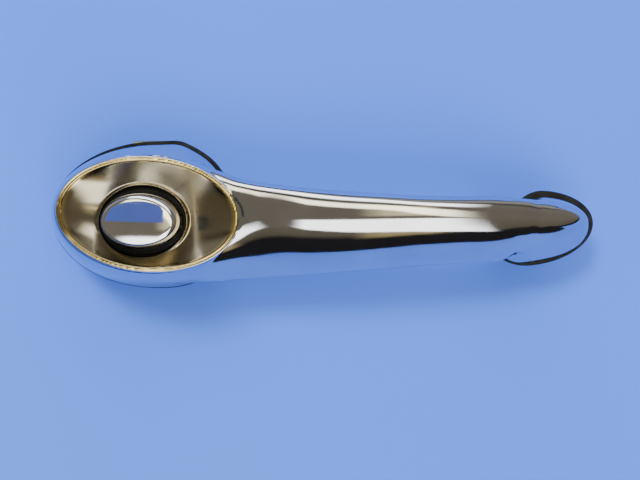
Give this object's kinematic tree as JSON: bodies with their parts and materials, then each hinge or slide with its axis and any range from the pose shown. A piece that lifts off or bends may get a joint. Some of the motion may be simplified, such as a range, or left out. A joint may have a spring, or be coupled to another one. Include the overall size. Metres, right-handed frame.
{
  "type": "outside car door handle",
  "caption": "Chromed pull-type car door handle: dished oval head with a sprung oval push button, tapering grip with a finger gap, tip foot, rubber pads, rear clamp bracket and studs.",
  "frame": {"origin": "on the push button's axis, in the plane of the door skin, which is the back of the head's rubber pad", "axes": "+Z points away from the door, along the button's axis; +X runs from the head to the tip; +Y points to the side of the grip where fingers go in"},
  "size_m": [0.2158, 0.06, 0.0526],
  "materials": {
    "chrome": "polished",
    "pad_rubber": "matt",
    "plain_steel": "satin",
    "spring_steel": "oiled",
    "yellow_zinc": "yellow passivated zinc plate",
    "brass": "turned",
    "nylon": "natural"
  },
  "bodies": {
    "handle": {"handle_body": "chrome", "button_seal": "pad_rubber", "return_spring": "spring_steel", "guide_bush": "brass", "retainer_plate": "plain_steel", "retainer_screws": "plain_steel", "retainer_washers": "spring_steel", "head_pad": "pad_rubber", "tip_pad": "pad_rubber", "head_studs": "plain_steel", "clamp_bracket": "yellow_zinc", "bracket_washers": "plain_steel", "lock_washers": "spring_steel", "stud_nuts": "yellow_zinc", "tip_dowel": "plain_steel"},
    "button": {"push_button": "chrome", "button_stem": "plain_steel", "stem_pin": "spring_steel", "spring_seat": "plain_steel", "stop_washer": "plain_steel", "stem_clip": "spring_steel", "contact_bolt": "plain_steel", "contact_locknut": "brass", "contact_tip": "nylon"}
  },
  "joints": [
    {"name": "button_slide", "type": "slide", "parent": "handle", "child": "button", "axis": [0, 0, -1], "range_m": [0, 0.006], "stiffness_N_per_m": 900, "springref_m": -0.012, "deforming": ["return_spring"]}
  ]
}
